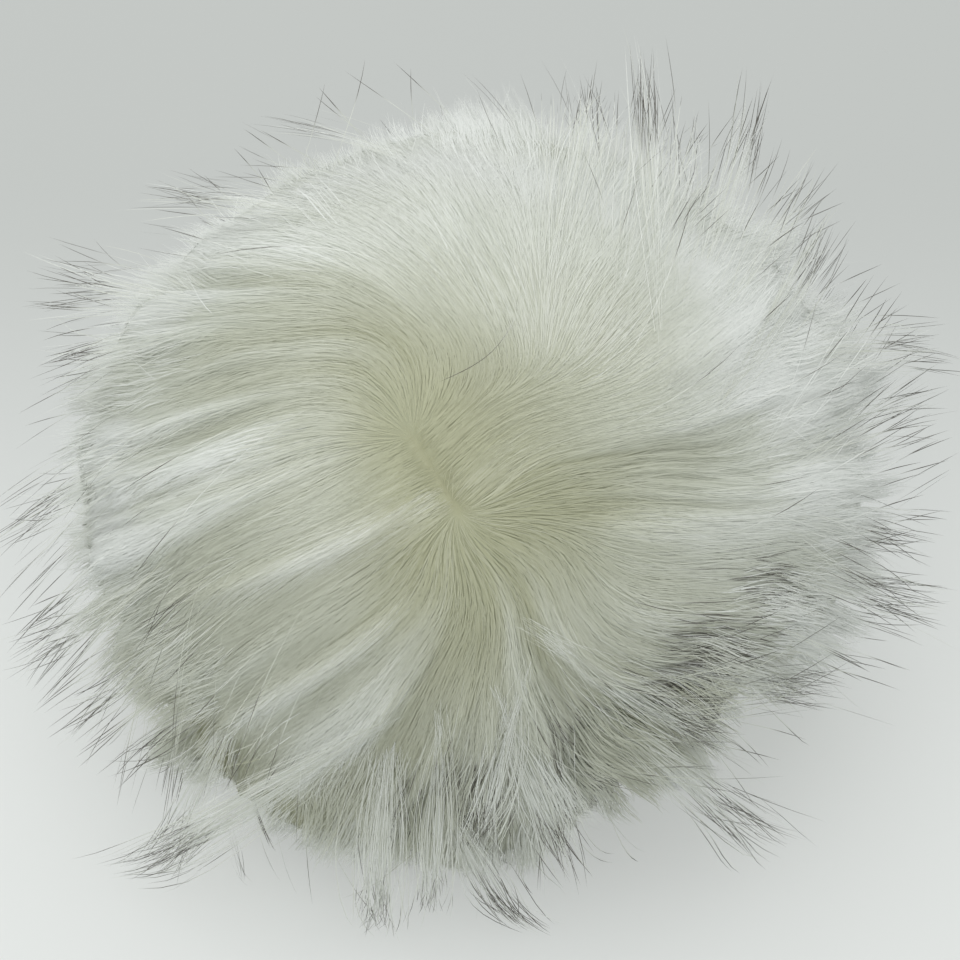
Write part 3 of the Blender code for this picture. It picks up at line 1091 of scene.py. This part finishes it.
def add_node(tree, kind, inputs, **settings):
    """Adds a node with these settings, feeds its inputs, and gives its outputs."""
    node = tree.nodes.new("ShaderNode" + kind)
    for name, value in settings.items():
        setattr(node, name, value)
    for name, value in inputs.items():
        feed(tree, node.inputs[name], value)
    return node.outputs


def attribute(tree, name, output="Fac"):
    return add_node(tree, "Attribute", {}, attribute_name=name)[output]


def map_range(tree, value, start, end, low=0.0, high=1.0, curve="SMOOTHSTEP"):
    """A value moved from one range to another."""
    inputs = {"Value": value, "From Min": start, "From Max": end, "To Min": low, "To Max": high}
    return add_node(tree, "MapRange", inputs, interpolation_type=curve)["Result"]


def mix_colours(tree, factor, one, other):
    return add_node(tree, "Mix", {"Factor": factor, "A": one, "B": other}, data_type="RGBA")["Result"]


def pile_colour_group():
    """The pile's colour from root to tip. Hairs of a higher shade are paler, and streaks vary both."""
    tree = bpy.data.node_groups.new("pile_colour", "ShaderNodeTree")
    for name in ("Along", "Shade", "Streak"):
        tree.interface.new_socket(name=name, in_out="INPUT", socket_type="NodeSocketFloat")
    tree.interface.new_socket(name="Color", in_out="OUTPUT", socket_type="NodeSocketColor")
    given = tree.nodes.new("NodeGroupInput").outputs
    made = tree.nodes.new("NodeGroupOutput").inputs
    steps = tree.nodes.new("ShaderNodeValToRGB")
    steps.color_ramp.interpolation = "EASE"
    while len(steps.color_ramp.elements) < len(PILE_COLOURS):
        steps.color_ramp.elements.new(0.5)
    for element, (place, colour) in zip(steps.color_ramp.elements, PILE_COLOURS):
        element.position = place
        element.color = (*colour, 1.0)
    feed(tree, steps.inputs["Fac"], given["Along"])
    bleach = map_range(tree, given["Shade"], PALE_FROM, 1.0, 0.0, MOST_PALE)
    colour = mix_colours(tree, bleach, steps.outputs["Color"], PALE_COLOUR)
    for name, low, high in TONE_RANGES:
        tone = map_range(tree, given[name], 0.0, 1.0, low, high, "LINEAR")
        colour = add_node(tree, "VectorMath", {0: colour, "Scale": tone}, operation="SCALE")["Vector"]
    feed(tree, made["Color"], colour)
    return tree


def new_material(name, roughness):
    material = bpy.data.materials.new(name)
    material.use_nodes = True
    shader = material.node_tree.nodes["Principled BSDF"].inputs
    shader["Roughness"].default_value = roughness
    return material, material.node_tree, shader


def pile_colour(tree, colours, streak):
    """The pile's colour at a piece's own values for along and shade."""
    inputs = {"Along": attribute(tree, "along"), "Shade": attribute(tree, "shade"), "Streak": streak}
    return add_node(tree, "Group", inputs, node_tree=colours)["Color"]


def hair_streaks(tree):
    """Streaks that run along each hair and differ between hairs."""
    axes = {"X": attribute(tree, "across"), "Y": attribute(tree, "along"), "Z": attribute(tree, "shade")}
    place = add_node(tree, "CombineXYZ", axes)["Vector"]
    scaled = add_node(tree, "VectorMath", {0: place, 1: HAIR_STREAKS}, operation="MULTIPLY")["Vector"]
    return add_node(tree, "TexNoise", {"Vector": scaled, "Scale": 1.0, "Detail": 2.0})["Fac"]


def fine_hair_material(colours):
    material, tree, shader = new_material("fine_hair", 0.40)
    feed(tree, shader["Base Color"], pile_colour(tree, colours, hair_streaks(tree)))
    return material


def guard_hair_material(colours):
    """As the fine hair, with dark tips."""
    material, tree, shader = new_material("guard_hair", 0.38)
    colour = pile_colour(tree, colours, hair_streaks(tree))
    tip = map_range(tree, attribute(tree, "along"), DARK_FROM, DARK_FROM + DARK_BLEND)
    feed(tree, shader["Base Color"], mix_colours(tree, tip, colour, TIP_COLOUR))
    return material


def coat_material(colours):
    """The pile's colour and a fine relief, both streaked along the comb."""
    material, tree, shader = new_material("underfur_coat", 0.55)
    comb = attribute(tree, "comb", "Vector")
    grain = {"Vector": comb, "Scale": 45.0, "Detail": 5.0, "Roughness": 0.75}
    streaks = add_node(tree, "TexNoise", grain)["Fac"]
    relief = add_node(tree, "Bump", {"Strength": 0.3, "Distance": 0.0004, "Height": streaks})["Normal"]
    feed(tree, shader["Normal"], relief)
    feed(tree, shader["Base Color"], pile_colour(tree, colours, streaks))
    return material


def floor_material():
    """A pale floor with painted light: it darkens away from the camera, and it glows a little to lift the
    ball's shadow.
    """
    material, tree, shader = new_material("pale_floor", 0.8)
    place = add_node(tree, "SeparateXYZ", {"Vector": add_node(tree, "TexCoord", {})["Object"]})
    depth = map_range(tree, place["Y"], FLOOR_NEAR_Y, FLOOR_FAR_Y)
    tone = mix_colours(tree, depth, FLOOR_NEAR, FLOOR_FAR)
    feed(tree, shader["Base Color"], tone)
    feed(tree, shader["Emission Color"], tone)
    shader["Emission Strength"].default_value = FLOOR_PAINTED_GLOW
    return material


def sky():
    world = bpy.data.worlds.new("studio")
    bpy.context.scene.world = world
    world.use_nodes = True
    light = world.node_tree.nodes["Background"].inputs
    feed(world.node_tree, light["Color"], SKY_COLOUR)
    feed(world.node_tree, light["Strength"], SKY_STRENGTH)


def lamps():
    for name, energy, wide, place in STUDIO_LAMPS:
        lamp = bpy.data.lights.new(name, "AREA")
        lamp.energy = energy
        lamp.size = wide
        light = add_object(name, lamp)
        light.location = place
        light.rotation_euler = (Vector(CENTRE) - light.location).to_track_quat("-Z", "Y").to_euler()


def floor():
    mesh = bpy.data.meshes.new("floor")
    shape = bmesh.new()
    bmesh.ops.create_grid(shape, x_segments=2, y_segments=2, size=FLOOR_HALF_WIDTH)
    shape.to_mesh(mesh)
    shape.free()
    mesh.materials.append(floor_material())
    add_object("floor", mesh)


def camera():
    """The photograph's view of the ball."""
    bpy.context.scene.view_settings.view_transform = "Standard"
    lens = bpy.data.cameras.new("camera")
    lens.sensor_width = SENSOR
    lens.lens = SENSOR * CAMERA_DISTANCE / VIEW_WIDTH
    lens.clip_end = 10.0
    eye = add_object("camera", lens)
    eye.location = CENTRE + seen_at(*VIEW_CENTRE) + NEAR * CAMERA_DISTANCE
    eye.rotation_euler = Vector(-NEAR).to_track_quat("-Z", "Y").to_euler()
    bpy.context.scene.camera = eye


def pom_pom():
    """The coat first, then the hairs that lie on it and stand out of it."""
    big = Locks(150, seed=3, length_spread=0.07, lift_spread=3.0, turn_spread=6.0)
    small = Locks(800, seed=4, length_spread=0.07, lift_spread=3.0, turn_spread=4.0)
    fine = [FineHairs(seed, big, small) for seed in (31, 32)]
    guards = GuardHairs(big)
    coat = Coat(fine)
    colours = pile_colour_group()
    add_coat(coat, coat_material(colours))
    pale = fine_hair_material(colours)
    for number, hairs in enumerate(fine, start=1):
        hairs.leave_rim(coat)
        add_ribbons(f"fine_hair_{number}", "fine_hair", hairs, coat, pale)
    for number, seed in enumerate((61, 62, 63), start=1):
        hairs = CombedHairs(COMBED_COUNT, seed, COMBED_LENGTH, coat, small,
                            pull=0.35, rise=0.0009, least_rise=0.0001)
        add_ribbons(f"combed_hair_{number}", "combed_hair", hairs, coat, pale)
    dark_tipped = guard_hair_material(colours)
    add_ribbons("wisps", "wisps", WispHairs(coat), coat, dark_tipped)
    add_ribbons("hollow_hair", "hollow_hair", HollowHairs(coat, small), coat, dark_tipped)
    guards.trim(coat, under=0.0008, points=9, shortest=0.010)
    add_ribbons("guard_hair", "guard_hair", guards, coat, dark_tipped)


camera()
sky()
lamps()
floor()
pom_pom()
